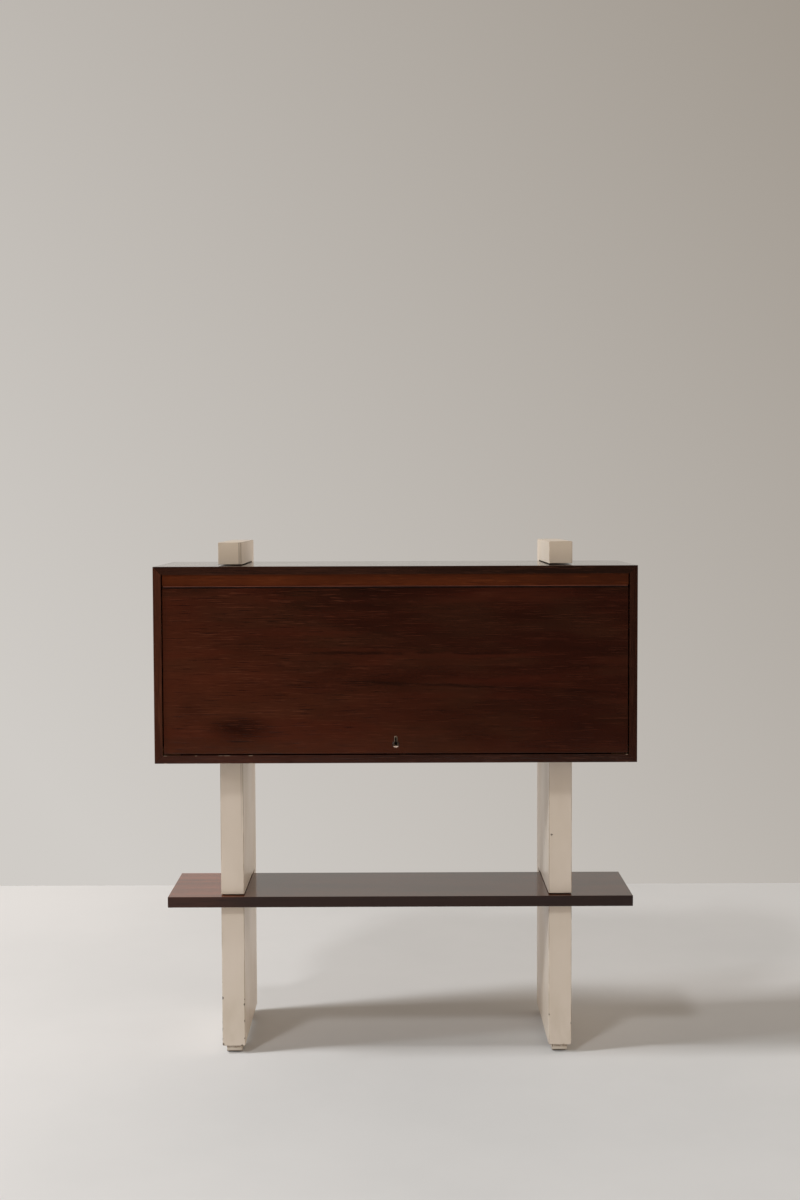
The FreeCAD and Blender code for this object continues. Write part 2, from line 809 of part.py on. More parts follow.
def shelf():
    """Loose board that slides in the uprights' slots."""
    y0 = upright_front - shelf_reach
    x0 = shelf_shift - shelf_width / 2
    plank = box(x0, x0 + shelf_width, y0, y0 + shelf_depth, shelf_lift, shelf_top)
    return round_edges(plank, shelf_round, lambda ends: True)


def both_sides(places):
    return [p for side in SIDES.values() for p in places(side)]


nodes = {
    "case_top": case_top(),
    "case_bottom": case_bottom(),
    "mitre_tongues": Part.makeCompound(mitre_tongues()),
    "back_panel": back_panel(),
    "back_panel_screws": screws(PANEL, panel_screw_places(), FORWARD),
    "case_screws": screws(FRAME, both_sides(case_screw_places), DOWN),
    "foot_screws": screws(FRAME, both_sides(foot_screw_places), UP),
    "top_rail": top_rail(),
    "rail_dowels": Part.makeCompound(rail_dowels()),
    "hinge_rail_leaf": hinge_rail_leaf(),
    "hinge_flap_leaf": hinge_flap_leaf(),
    "hinge_pin": hinge_pin(hinge_pin_radius),
    "rail_hinge_screws": screws(SMALL, rail_screw_places(), UP),
    "flap_hinge_screws": screws(SMALL, flap_screw_places(), DOWN),
    "flap_panel": flap_panel(),
    "escutcheon": escutcheon(),
    "lock_plate": lock_plate(),
    "lock_case": lock_case(),
    "lock_bolt": lock_bolt(),
    "bolt_spring": bolt_spring(),
    "drill_pin": drill_pin(),
    "lock_screws": screws(SMALL, lock_screw_places(), FORWARD),
    "strike_plate": strike_plate(),
    "strike_screws": screws(SMALL, strike_screw_places(), DOWN),
    "shelf": shelf(),
}
for name, side in SIDES.items():
    nodes[name + "_upright"] = upright(side)
    nodes["case_" + name + "_side"] = case_side(side)
    nodes[name + "_flap_stop"] = flap_stop(side)
    nodes[name + "_stop_buffer"] = stop_buffer(side)
    nodes[name + "_stay_plate"] = stay_plate(side)
    nodes[name + "_stay_plate_screws"] = screws(SMALL, stay_plate_screw_places(side), RIGHT * side)
    nodes[name + "_stay_washer"] = stay_washer(side)
    nodes[name + "_stay_nut"] = stay_nut(side)
    nodes[name + "_stay_arm"] = stay_arm(side)
    nodes[name + "_stay_bracket"] = stay_bracket(side)
    nodes[name + "_bracket_screws"] = screws(SMALL, bracket_screw_places(side), FORWARD)
    nodes[name + "_stay_rivet"] = stay_rivet(side)
    for place, span in foot_spans().items():
        nodes[f"{name}_{place}_foot"] = foot(side, span)
        nodes[f"{name}_{place}_foot_pad"] = foot_pad(side, span)

os.makedirs("parts", exist_ok=True)
for name, shape in nodes.items():
    shape.exportStep(f"parts/{name}.step")
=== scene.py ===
import math
import bpy
import numpy as np
from mathutils import Matrix, Vector


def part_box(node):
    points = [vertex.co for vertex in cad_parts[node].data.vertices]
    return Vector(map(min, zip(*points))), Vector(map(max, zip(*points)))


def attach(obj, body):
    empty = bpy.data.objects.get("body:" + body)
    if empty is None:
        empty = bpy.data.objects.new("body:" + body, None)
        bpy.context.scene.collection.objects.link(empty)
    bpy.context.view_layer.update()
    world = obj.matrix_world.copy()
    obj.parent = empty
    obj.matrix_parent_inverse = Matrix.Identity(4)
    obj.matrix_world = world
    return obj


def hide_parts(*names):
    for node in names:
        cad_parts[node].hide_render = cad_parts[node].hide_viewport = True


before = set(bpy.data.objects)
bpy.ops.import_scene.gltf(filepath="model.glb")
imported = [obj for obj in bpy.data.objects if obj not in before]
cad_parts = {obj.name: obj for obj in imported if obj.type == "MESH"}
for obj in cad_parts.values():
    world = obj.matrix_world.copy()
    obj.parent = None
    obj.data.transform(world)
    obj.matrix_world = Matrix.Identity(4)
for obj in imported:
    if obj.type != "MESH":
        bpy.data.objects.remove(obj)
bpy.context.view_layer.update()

# Uprights: two slabs of solid wood, slotted from the front for the case and the shelf.
# They are sprayed with cream lacquer, which has gone thin along the arrises and chipped low down.


def shade(red, green, blue):
    """A display colour, 0 to 255 each, as linear light with full alpha."""
    parts = np.array([red, green, blue]) / 255
    linear = np.where(parts <= 0.04045, parts / 12.92, ((parts + 0.055) / 1.055) ** 2.4)
    return (*linear.tolist(), 1.0)


def add(tree, kind, settings, inputs):
    """A new node of a kind. Each input is a plain value or the socket that feeds it."""
    made = tree.nodes.new("ShaderNode" + kind)
    for key, value in settings.items():
        setattr(made, key, value)
    for key, value in inputs.items():
        if isinstance(value, bpy.types.NodeSocket):
            tree.links.new(value, made.inputs[key])
        else:
            made.inputs[key].default_value = value
    return made.outputs


def sums(tree, operation, *values):
    """One Math node on one to three values."""
    return add(tree, "Math", {"operation": operation}, dict(enumerate(values)))[0]


def vectors(tree, operation, *values):
    """One Vector Math node on one to three vectors."""
    return add(tree, "VectorMath", {"operation": operation}, dict(enumerate(values)))[0]


def parts_of(tree, place):
    """The X, Y and Z of a vector."""
    return add(tree, "SeparateXYZ", {}, {0: place})


def rise(tree, value, low, high, start=0.0, end=1.0):
    """Smooth step: start below low, end above high."""
    inputs = {"Value": value, "From Min": low, "From Max": high, "To Min": start, "To Max": end}
    return add(tree, "MapRange", {"interpolation_type": "SMOOTHSTEP"}, inputs)[0]


def cloud(tree, place, scales, detail=3.0, rough=0.5):
    """Noise with so many features a metre along X, Y and Z, about 0.5 on average."""
    scaled = vectors(tree, "MULTIPLY", place, scales)
    inputs = {"Vector": scaled, "Scale": 1.0, "Detail": detail, "Roughness": rough}
    return add(tree, "TexNoise", {}, inputs)[0]


def tint(tree, share, first, second):
    """The first colour where share is 0, the second where it is 1."""
    return add(tree, "Mix", {"data_type": "RGBA"}, {0: share, 6: first, 7: second})[2]


def new_group(name, inputs, outputs):
    """An empty node group with named sockets of given kinds, and its inner ends."""
    tree = bpy.data.node_groups.new(name, "ShaderNodeTree")
    for ends, way in ((inputs, "INPUT"), (outputs, "OUTPUT")):
        for socket, kind in ends.items():
            tree.interface.new_socket(socket, in_out=way, socket_type="NodeSocket" + kind)
    return tree, tree.nodes.new("NodeGroupInput").outputs, tree.nodes.new("NodeGroupOutput").inputs


def place_group(tree, group, inputs):
    """Puts a node group into a material and gives its outputs."""
    return add(tree, "Group", {"node_tree": group}, inputs)


def new_finish(name, constants):
    """A material with its Principled shader, whose constant values are set on its own sockets."""
    material = bpy.data.materials.new(name)
    material.use_nodes = True
    shader = material.node_tree.nodes["Principled BSDF"]
    for socket, value in constants.items():
        shader.inputs[socket].default_value = value
    return material, material.node_tree, shader


def feed(tree, shader, sockets):
    """Links what changes over the surface to the shader's inputs."""
    for socket, value in sockets.items():
        tree.links.new(value, shader.inputs[socket])


def relief(tree, height, depth):
    """Bump of so many metres for a height of 1."""
    return add(tree, "Bump", {}, {"Height": height, "Distance": depth, "Strength": 1.0})[0]


def object_place(tree):
    """Where a point is, in metres in the shared frame."""
    return add(tree, "TexCoord", {}, {})["Object"]


def dress(material, *nodes):
    """Gives CAD nodes a material."""
    for node in nodes:
        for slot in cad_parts[node].material_slots:
            slot.material = material


def arris_group():
    """Distance from a box's nearest edge: the middle one of the distances to its X, Y and Z faces."""
    inputs = {"Place": "Vector", "Low": "Vector", "High": "Vector"}
    tree, given, out = new_group("Arris", inputs, {"Distance": "Float"})
    from_low = vectors(tree, "ABSOLUTE", vectors(tree, "SUBTRACT", given["Place"], given["Low"]))
    from_high = vectors(tree, "ABSOLUTE", vectors(tree, "SUBTRACT", given["High"], given["Place"]))
    x, y, z = parts_of(tree, vectors(tree, "MINIMUM", from_low, from_high))
    upper = sums(tree, "MINIMUM", sums(tree, "MAXIMUM", x, y), z)
    tree.links.new(sums(tree, "MAXIMUM", sums(tree, "MINIMUM", x, y), upper), out["Distance"])
    return tree


def chips_group():
    """Chips: fine and clustered noise plus Amount, less the distance from the arris over Reach."""
    inputs = {"Place": "Vector", "Distance": "Float", "Reach": "Float", "Amount": "Float"}
    tree, given, out = new_group("Chips", inputs, {"Chips": "Float", "Rim": "Float"})
    cluster_share, lifted, chipped, bare = 0.4, 0.82, 0.88, 0.90
    fine = cloud(tree, given["Place"], (170, 170, 130), 4.0, 0.62)
    clusters = cloud(tree, given["Place"], (14, 14, 14), 1.0)
    noise = sums(tree, "MULTIPLY_ADD", clusters, cluster_share, fine)
    level = sums(tree, "ADD", noise, given["Amount"])
    level = sums(tree, "SUBTRACT", level, sums(tree, "DIVIDE", given["Distance"], given["Reach"]))
    tree.links.new(rise(tree, level, chipped, bare), out["Chips"])
    tree.links.new(rise(tree, level, lifted, chipped), out["Rim"])
    return tree


arris = arris_group()
edge_chips = chips_group()
cream, dull_cream, stub_shade_cream = shade(213, 202, 192), shade(208, 197, 185), shade(186, 170, 150)
grimy, thinned, lifted_rim = shade(184, 171, 153), shade(152, 134, 114), shade(218, 211, 200)
bare_wood, dented = shade(92, 70, 52), shade(110, 92, 74)
# Painted shade: over the case the stubs' lacquer is tinted yellower and darker.
stub_shade_from, stub_shade_to, stub_shade_share = 1.20, 1.27, 0.4
chip_reach, dents_per_metre = 0.011, 9
satin, mottle_dullness, chip_dullness = 0.32, 0.12, 0.3
stroke_share, peel_share, lacquer_relief = 0.35, 0.2, 0.00022


def lacquer_group():
    """Old cream lacquer: mottled, dirtier near the floor, tinted yellower and darker over the case as
    painted shade, browner on the arris, chipped and dented."""
    outputs = {"Color": "Color", "Roughness": "Float", "Height": "Float"}
    tree, given, out = new_group("Old lacquer", {"Place": "Vector", "Distance": "Float"}, outputs)
    place, distance = given["Place"], given["Distance"]
    height = parts_of(tree, place)[2]
    mottle = rise(tree, cloud(tree, place, (5, 5, 3)), 0.35, 0.68)
    colour = tint(tree, mottle, cream, dull_cream)
    grime = rise(tree, cloud(tree, place, (26, 26, 12), 4.0), 0.42, 0.75)
    low_down = rise(tree, height, 0.02, 0.2, 0.45, 0.12)
    colour = tint(tree, sums(tree, "MULTIPLY", grime, low_down), colour, grimy)
    # Painted shade on the stubs over the case.
    stub_shade = rise(tree, height, stub_shade_from, stub_shade_to, 0.0, stub_shade_share)
    colour = tint(tree, stub_shade, colour, stub_shade_cream)
    patchy = rise(tree, cloud(tree, place, (24, 24, 16)), 0.36, 0.62, 0.25, 0.9)
    thin = sums(tree, "MULTIPLY", rise(tree, distance, 0.0004, 0.0022, 1.0, 0.0), patchy)
    colour = tint(tree, thin, colour, thinned)
    amount = rise(tree, height, 0.04, 0.22, 0.16, 0.03)
    chip_inputs = {"Place": place, "Distance": distance, "Reach": chip_reach, "Amount": amount}
    chips, rim = place_group(tree, edge_chips, chip_inputs)
    colour = tint(tree, sums(tree, "MULTIPLY", rim, 0.5), colour, lifted_rim)
    colour = tint(tree, chips, colour, bare_wood)
    cells = add(tree, "TexVoronoi", {}, {"Vector": place, "Scale": dents_per_metre})
    chosen = rise(tree, parts_of(tree, cells["Color"])[0], 0.7, 0.72)
    dents = sums(tree, "MULTIPLY", chosen, rise(tree, cells["Distance"], 0.008, 0.016, 1.0, 0.0))
    colour = tint(tree, sums(tree, "MULTIPLY", dents, 0.8), colour, dented)
    tree.links.new(colour, out["Color"])
    gloss = sums(tree, "MULTIPLY_ADD", mottle, mottle_dullness, satin)
    tree.links.new(sums(tree, "MULTIPLY_ADD", chips, chip_dullness, gloss), out["Roughness"])
    strokes = cloud(tree, place, (240, 240, 9))
    peel = sums(tree, "MULTIPLY", cloud(tree, place, (380, 380, 380), 2.0), peel_share)
    surface = sums(tree, "MULTIPLY_ADD", strokes, stroke_share, peel)
    hollows = sums(tree, "MAXIMUM", chips, dents)
    tree.links.new(sums(tree, "SUBTRACT", surface, hollows), out["Height"])
    return tree


old_lacquer = lacquer_group()


def lacquer(node, marks):
    """Cream lacquer on one node, worn along that node's own arrises; marks adds damage to its colour, and
    on the feet painted shade too.
    """
    material, tree, shader = new_finish(node + "_lacquer", {"IOR": 1.48})
    place = object_place(tree)
    low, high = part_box(node)
    distance = place_group(tree, arris, {"Place": place, "Low": low, "High": high})[0]
    colour, roughness, height = place_group(tree, old_lacquer, {"Place": place, "Distance": distance})
    colour = marks(tree, place, colour)
    normal = relief(tree, height, lacquer_relief)
    feed(tree, shader, {"Base Color": colour, "Roughness": roughness, "Normal": normal})
    dress(material, node)


left_low, left_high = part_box("left_upright")
right_low, right_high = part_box("right_upright")
front = left_low.y
knocks = (((left_low.x, front, 0.145), 0.0050), ((left_high.x, front, 0.141), 0.0028),
          ((left_high.x, front, 0.128), 0.0040), ((left_high.x, front, 0.085), 0.0034),
          ((left_high.x, front, 0.040), 0.0032), ((left_low.x, front, 0.024), 0.0060),
          ((left_high.x - 0.008, front, left_low.z), 0.0044), ((right_low.x, front, 0.099), 0.0036),
          ((right_high.x, front, 0.076), 0.0032), ((right_low.x + 0.007, front, 0.563), 0.0034))
raggedness, knocked_bare = 0.006, shade(78, 66, 56)
crack_insets, crack_core, crack_edge = (0.0004, 0.0052), 0.0005, 0.0013
crack_brown, open_from, open_to = shade(84, 68, 56), 1.20, 1.25


def knocked(tree, place, colour):
    """A ragged dark blot round each place where a knock took the lacquer off, and two fine cracks down
    the front by the left upright's inner arris, open on the stub and fainter below the case."""
    torn = cloud(tree, place, (500, 500, 500))
    ragged = sums(tree, "MULTIPLY_ADD", torn, raggedness, -raggedness / 2)
    for point, reach in knocks:
        off = add(tree, "VectorMath", {"operation": "DISTANCE"}, {0: place, 1: point})["Value"]
        blot = rise(tree, sums(tree, "ADD", off, ragged), reach * 0.5, reach, 0.9, 0.0)
        colour = tint(tree, blot, colour, knocked_bare)
    across, depth, height = parts_of(tree, place)
    faint = rise(tree, height, 0.5, 0.74, 0.0, 0.45)
    on_front = rise(tree, depth, front + 0.001, front + 0.002, 1.0, 0.0)
    opened = sums(tree, "MULTIPLY", rise(tree, height, open_from, open_to, faint, 0.85), on_front)
    for inset in crack_insets:
        off = sums(tree, "ABSOLUTE", sums(tree, "SUBTRACT", across, left_high.x - inset))
        line = rise(tree, off, crack_core, crack_edge, 1.0, 0.0)
        colour = tint(tree, sums(tree, "MULTIPLY", line, opened), colour, crack_brown)
    return colour


sides = ("left", "right")
for side in sides:
    lacquer(side + "_upright", knocked)

# Feet: a lacquered wood block under each end of an upright, with a felt pad glued below.
# One countersunk steel screw holds each block.

feet = [f"{side}_{end}_foot" for side in sides for end in ("front", "rear")]
foot_low, foot_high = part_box(feet[0])
foot_middle = (foot_low.z + foot_high.z) / 2
# The feet's marks: painted shade above, a paler band, and a painted contact shadow along the bottom of each
# block.
upper_shade_brown, pale_band_cream, contact_shadow_brown = shade(128, 112, 94), shade(226, 218, 206), shade(96, 84, 72)


def foot_shade_marks(tree, place, colour):
    """Brown blotches over the upper half, part scuffs and part painted shade under the upright, a paler
    band below and a painted contact shadow along the lower edge.
    """
    height = parts_of(tree, place)[2]
    blots = rise(tree, cloud(tree, place, (190, 190, 260), 3.0, 0.6), 0.42, 0.56, 0.15, 0.85)
    upper = rise(tree, height, foot_middle - 0.002, foot_middle + 0.002)
    colour = tint(tree, sums(tree, "MULTIPLY", blots, upper), colour, upper_shade_brown)
    rubbed = rise(tree, height, foot_middle - 0.003, foot_middle, 0.5, 0.0)
    colour = tint(tree, rubbed, colour, pale_band_cream)
    # Painted contact shadow along the lower edge.
    contact_shadow = rise(tree, height, foot_low.z + 0.001, foot_low.z + 0.003, 0.75, 0.0)
    return tint(tree, contact_shadow, colour, contact_shadow_brown)


for foot in feet:
    lacquer(foot, foot_shade_marks)


def worn_metal_group():
    """Handled metal: a patchy tarnish and fine lines left by the brush."""
    tree, given, out = new_group("Worn metal", {"Place": "Vector"}, {"Tarnish": "Float", "Brush": "Float"})
    patches = cloud(tree, given["Place"], (70, 70, 70), 5.0, 0.6)
    tree.links.new(rise(tree, patches, 0.38, 0.68), out["Tarnish"])
    tree.links.new(cloud(tree, given["Place"], (40, 900, 900), 2.0), out["Brush"])
    return tree


worn_metal = worn_metal_group()
brush_spread, tarnish_dullness, brush_depth = 0.12, 0.2, 0.00003


def metal(name, bright, dull, roughness, patina, *nodes, marks=None):
    """Metal whose colour goes from bright to dull with its tarnish, which covers it by the patina's share;
    marks adds what only this piece has to the colour."""
    material, tree, shader = new_finish(name, {})
    place = object_place(tree)
    tarnish, brush = place_group(tree, worn_metal, {"Place": place})
    colour = tint(tree, tarnish, bright, dull)
    if marks:
        colour = marks(tree, place, colour)
    uneven = sums(tree, "MULTIPLY_ADD", brush, brush_spread, roughness - brush_spread / 2)
    sockets = {
        "Base Color": colour,
        "Metallic": rise(tree, tarnish, 0.0, 1.0, 1.0 - patina / 2, 1.0 - patina),
        "Roughness": sums(tree, "MULTIPLY_ADD", tarnish, tarnish_dullness, uneven),
        "Normal": relief(tree, brush, brush_depth),
    }
    feed(tree, shader, sockets)
    dress(material, *nodes)


screws = [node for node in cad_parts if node.endswith("_screws") and "hinge" not in node]
metal("screw_steel", shade(176, 172, 166), shade(116, 108, 98), 0.34, 0.3, *screws)
dark_wool, brown_wool, pale_fibre = shade(38, 33, 29), shade(58, 50, 43), shade(104, 94, 82)
fibre_depth = 0.0002


def felt():
    """Pressed felt: dark wool with pale fibres and a fuzzy surface."""
    material, tree, shader = new_finish("felt", {"Sheen Weight": 0.3, "Sheen Roughness": 0.6})
    place = object_place(tree)
    fibres = cloud(tree, place, (1400, 700, 1400), 3.0, 0.7)
    wool = cloud(tree, place, (220, 220, 220))
    colour = tint(tree, rise(tree, wool, 0.35, 0.65), dark_wool, brown_wool)
    colour = tint(tree, rise(tree, fibres, 0.58, 0.74, 0.0, 0.6), colour, pale_fibre)
    roughness = rise(tree, fibres, 0.3, 0.7, 0.85, 1.0)
    normal = relief(tree, fibres, fibre_depth)
    feed(tree, shader, {"Base Color": colour, "Roughness": roughness, "Normal": normal})
    return material


pad_felt = felt()
depth_axis, up_axis = 1, 2


def new_piece(name, points, faces, material, body, node):
    """A closed mesh that takes a CAD node's place and moves with its body."""
    mesh = bpy.data.meshes.new(name)
    mesh.from_pydata(points, [], faces)
    mesh.materials.append(material)
    mesh.shade_smooth()
    piece = bpy.data.objects.new(name, mesh)
    bpy.context.collection.objects.link(piece)
    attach(piece, body)
    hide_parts(node)
    return piece


def strips(rows, columns, closed):
    """Quads of a grid of points whose columns go round; with closed, its rows do too."""
    bands = rows if closed else rows - 1
    row, column = np.meshgrid(np.arange(bands), np.arange(columns), indexing="ij")
    start, after = row * columns, (row + 1) % rows * columns
    beside = (column + 1) % columns
    corners = [start + column, start + beside, after + beside, after + column]
    return np.stack(corners, axis=-1).reshape(-1, 4).tolist()


def felt_slab(node, thin_axis):
    """A slab of felt in a node's box. Round it runs a squared oval, |cos t| and |sin t| to a small power
    times the half sizes; across its edge the oval draws in by a half circle of half the thickness."""
    around, across, squareness = 72, 9, 0.22
    low, high = (np.array(corner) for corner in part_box(node))
    middle, half = (low + high) / 2, (high - low) / 2
    first, second = [axis for axis in range(3) if axis != thin_axis]
    turn = np.linspace(0, 2 * np.pi, around, endpoint=False)
    oval_first = np.sign(np.cos(turn)) * abs(np.cos(turn)) ** squareness
    oval_second = np.sign(np.sin(turn)) * abs(np.sin(turn)) ** squareness
    edge = np.linspace(-np.pi / 2, np.pi / 2, across)[:, None]
    drawn_in = half[thin_axis] * (1 - np.cos(edge))
    points = np.empty((across, around, 3))
    points[..., first] = oval_first * (half[first] - drawn_in)
    points[..., second] = oval_second * (half[second] - drawn_in)
    points[..., thin_axis] = half[thin_axis] * np.sin(edge)
    faces = strips(across, around, False)
    faces += [list(range(around))[::-1], list(range((across - 1) * around, across * around))]
    # X to Z turns about -Y, so a slab that is thin in depth has its faces turned to look outwards.
    if thin_axis == depth_axis:
        faces = [face[::-1] for face in faces]
    points = (points + middle).reshape(-1, 3).tolist()
    piece = new_piece(node + "_felt", points, faces, pad_felt, "frame", node)


for foot in feet:
    felt_slab(foot + "_pad", up_axis)

# Case: four rosewood-veneered boards, mitred at the corners with loose plywood tongues.
# The grain runs along each board, and the glue line shows as a dark line at each mitre.


def figure_group():
    """Rosewood figure with its grain along X: clouds and bands that wander, sparse pale flecks, long and
    fine dark pores drawn out along the grain, and long streaks."""
    outputs = {"Tone": "Float", "Flecks": "Float", "Pores": "Float", "Streaks": "Float"}
    tree, given, out = new_group("Rosewood figure", {"Place": "Vector", "Shift": "Vector"}, outputs)
    swing, cloud_share, band_share, elsewhere = 0.05, 0.65, 0.35, (3.1, 1.7, 2.3)
    place = vectors(tree, "ADD", given["Place"], given["Shift"])
    wander = sums(tree, "MULTIPLY_ADD", cloud(tree, place, (1.6, 5, 5), 2.0), swing, -swing / 2)
    waved = vectors(tree, "ADD", place, add(tree, "CombineXYZ", {}, {1: wander, 2: wander})[0])
    clouds = cloud(tree, waved, (2.4, 9, 9), 4.0, 0.6)
    bands = cloud(tree, waved, (0.9, 48, 48), 3.0)
    banded = sums(tree, "MULTIPLY", bands, band_share)
    tone = sums(tree, "MULTIPLY_ADD", clouds, cloud_share, banded)
    tree.links.new(rise(tree, tone, 0.32, 0.68), out["Tone"])
    beside = vectors(tree, "ADD", place, elsewhere)
    flecks = cloud(tree, beside, (16, 380, 380), 2.0, 0.6)
    tree.links.new(rise(tree, flecks, 0.56, 0.72), out["Flecks"])
    long_pores = rise(tree, cloud(tree, place, (12, 360, 360), 2.0, 0.6), 0.55, 0.70)
    fine_pores = rise(tree, cloud(tree, beside, (70, 1900, 1900), 2.0), 0.54, 0.70, 0.0, 0.55)
    tree.links.new(sums(tree, "MAXIMUM", long_pores, fine_pores), out["Pores"])
    streaks = cloud(tree, waved, (1.2, 110, 110), 4.0, 0.65)
    tree.links.new(rise(tree, streaks, 0.56, 0.70), out["Streaks"])
    return tree


figure = figure_group()
faded, streak_share, fleck_share, pore_share, rub_share = 0.45, 0.4, 0.34, 0.55, 0.4
varnish_gloss, gloss_spread, pore_dullness, front_strip_dullness = 0.06, 0.08, 0.04, 0.75
filled_pore, open_pore = -0.00002, -0.00005


def rosewood(name, node, shift, tones, turned=False, marks=None, front_shade=None, fading=None):
    """Varnished rosewood in four tones: its pores, its dark and light wood and its flecks. The grain runs
    along X, or along Z if turned, and shift gives each board a figure of its own; marks adds what only
    this piece has to the colour, front_shade is the colour of painted shade on a duller strip at its front
    face, and fading is where along X its figure grows fainter."""
    material, tree, shader = new_finish(name, {"IOR": 1.5})
    place = object_place(tree)
    x, y, z = parts_of(tree, place)
    along = add(tree, "CombineXYZ", {}, {0: z, 1: y, 2: x})[0] if turned else place
    tone, flecks, pores, streaks = place_group(tree, figure, {"Place": along, "Shift": shift})
    if fading:
        clear = rise(tree, x, *fading, 1.0, faded)
        mean_tone = 0.5
        tone = sums(tree, "MULTIPLY_ADD", sums(tree, "SUBTRACT", tone, mean_tone), clear, mean_tone)
        flecks, pores, streaks = (sums(tree, "MULTIPLY", part, clear) for part in (flecks, pores, streaks))
    pore, dark, light, fleck = tones
    colour = tint(tree, tone, dark, light)
    colour = tint(tree, sums(tree, "MULTIPLY", streaks, streak_share), colour, pore)
    low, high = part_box(node)
    distance = place_group(tree, arris, {"Place": place, "Low": low, "High": high})[0]
    if marks:
        colour = marks(tree, place, distance, colour)
    colour = tint(tree, sums(tree, "MULTIPLY", flecks, fleck_share), colour, fleck)
    colour = tint(tree, sums(tree, "MULTIPLY", pores, pore_share), colour, pore)
    on_arris = rise(tree, distance, 0.0003, 0.0014, 1.0, 0.0)
    rubbed = sums(tree, "MULTIPLY", on_arris, cloud(tree, along, (40, 40, 40)))
    colour = tint(tree, sums(tree, "MULTIPLY", rubbed, rub_share), colour, fleck)
    uneven = cloud(tree, along, (6, 18, 18))
    gloss = sums(tree, "MULTIPLY_ADD", uneven, gloss_spread, varnish_gloss)
    gloss = sums(tree, "MULTIPLY_ADD", pores, pore_dullness, gloss)
    # Painted shade on a duller strip at the front face.
    if front_shade:
        strip = rise(tree, y, low.y + 0.0006, low.y + 0.0012, 0.85, 0.0)
        colour = tint(tree, strip, colour, front_shade)
        gloss = sums(tree, "MULTIPLY_ADD", strip, front_strip_dullness, gloss)
    normal = relief(tree, pores, filled_pore)
    feed(tree, shader, {"Base Color": colour, "Roughness": gloss, "Normal": normal})
    dress(material, node)


case_low, case_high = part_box("case_bottom")[0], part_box("case_top")[1]
case_middle = (case_low + case_high) / 2
case_half = (case_high - case_low) / 2
pale_wear, glue_line, shaded_wood = shade(196, 172, 150), shade(18, 9, 6), shade(20, 11, 7)
board_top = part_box("case_bottom")[1].z
rubs = ((-0.573, 0.005), (-0.497, 0.003), (-0.436, 0.006),
        (-0.420, 0.009), (-0.361, 0.006), (0.574, 0.003))


def mitre_lines(tree, place, distance, colour):
    """A dark line where a point is as far in from the case's side as from its top or bottom,
    and pale specks where the bottom board's upper front arris is rubbed through."""
    from_middle = vectors(tree, "ABSOLUTE", vectors(tree, "SUBTRACT", place, case_middle))
    inwards = parts_of(tree, vectors(tree, "SUBTRACT", case_half, from_middle))
    off_line = sums(tree, "ABSOLUTE", sums(tree, "SUBTRACT", inwards[0], inwards[2]))
    colour = tint(tree, rise(tree, off_line, 0.0002, 0.0008, 0.6, 0.0), colour, glue_line)
    across, depth, height = parts_of(tree, place)
    on_arris = rise(tree, distance, 0.0004, 0.0016, 0.7, 0.0)
    at_front = rise(tree, depth, case_low.y + 0.002, case_low.y + 0.004, 1.0, 0.0)
    at_height = rise(tree, height, board_top + 0.001, board_top + 0.002, 1.0, 0.0)
    shown = sums(tree, "MULTIPLY", sums(tree, "MULTIPLY", on_arris, at_front), at_height)
    for middle, half in rubs:
        along = sums(tree, "ABSOLUTE", sums(tree, "SUBTRACT", across, middle))
        speck = sums(tree, "MULTIPLY", rise(tree, along, half * 0.6, half, 1.0, 0.0), shown)
        colour = tint(tree, speck, colour, pale_wear)
    return colour


def shade_towards_right(tree, place, distance, colour):
    """The mitre lines, over painted shade that darkens the wood towards its right end, away from the light.
    """
    share = rise(tree, parts_of(tree, place)[0], -0.3, 0.5, 0.0, 0.55)
    return mitre_lines(tree, place, distance, tint(tree, share, colour, shaded_wood))


# Painted shade: the right side board's tones are darker, and the top and bottom boards darken to the right.
top_tones = (shade(22, 11, 8), shade(34, 18, 13), shade(54, 31, 23), shade(80, 50, 38))
bottom_tones = (shade(28, 13, 10), shade(44, 23, 17), shade(66, 37, 29), shade(94, 58, 46))
left_tones = (shade(32, 14, 10), shade(54, 28, 19), shade(78, 43, 30), shade(104, 66, 48))
right_shaded_tones = (shade(20, 9, 6), shade(34, 16, 11), shade(50, 26, 18), shade(74, 44, 32))
rosewood("top_board_rosewood", "case_top", (0.0, 0.0, 0.0), top_tones, marks=shade_towards_right)
rosewood("bottom_board_rosewood", "case_bottom", (4.0, 1.0, 3.0), bottom_tones, marks=shade_towards_right)
rosewood("left_side_rosewood", "case_left_side", (8.0, 2.0, 5.0), left_tones, True, mitre_lines)
rosewood("right_side_rosewood", "case_right_side", (12.0, 5.0, 1.0), right_shaded_tones, True, mitre_lines)


def plain_wood(name, shift, dark, light, grain, *nodes):
    """Unvarnished wood: pale early wood, darker late wood and fine flecks along X. Grain is how close the
    figure lies along X, Y and Z."""
    material, tree, shader = new_finish(name, {"IOR": 1.45})
    place = vectors(tree, "MULTIPLY", object_place(tree), grain)
    tone, flecks, pores, streaks = place_group(tree, figure, {"Place": place, "Shift": shift})
    lightness = sums(tree, "MULTIPLY_ADD", flecks, 0.2, sums(tree, "MULTIPLY", tone, 0.8))
    colour = tint(tree, lightness, dark, light)
    lines = sums(tree, "MULTIPLY", sums(tree, "MAXIMUM", streaks, pores), streak_share)
    colour = tint(tree, lines, colour, dark)
    roughness = rise(tree, tone, 0.0, 1.0, 0.5, 0.62)
    normal = relief(tree, pores, open_pore)
    feed(tree, shader, {"Base Color": colour, "Roughness": roughness, "Normal": normal})
    dress(material, *nodes)


fine_grain, wide_grain = (1.0, 1.0, 1.0), (0.8, 0.6, 0.6)

# Back panel: stained plywood in the case's rear rebate, held by a row of screws all round.
# The tongues in the mitres are strips of the same plywood.

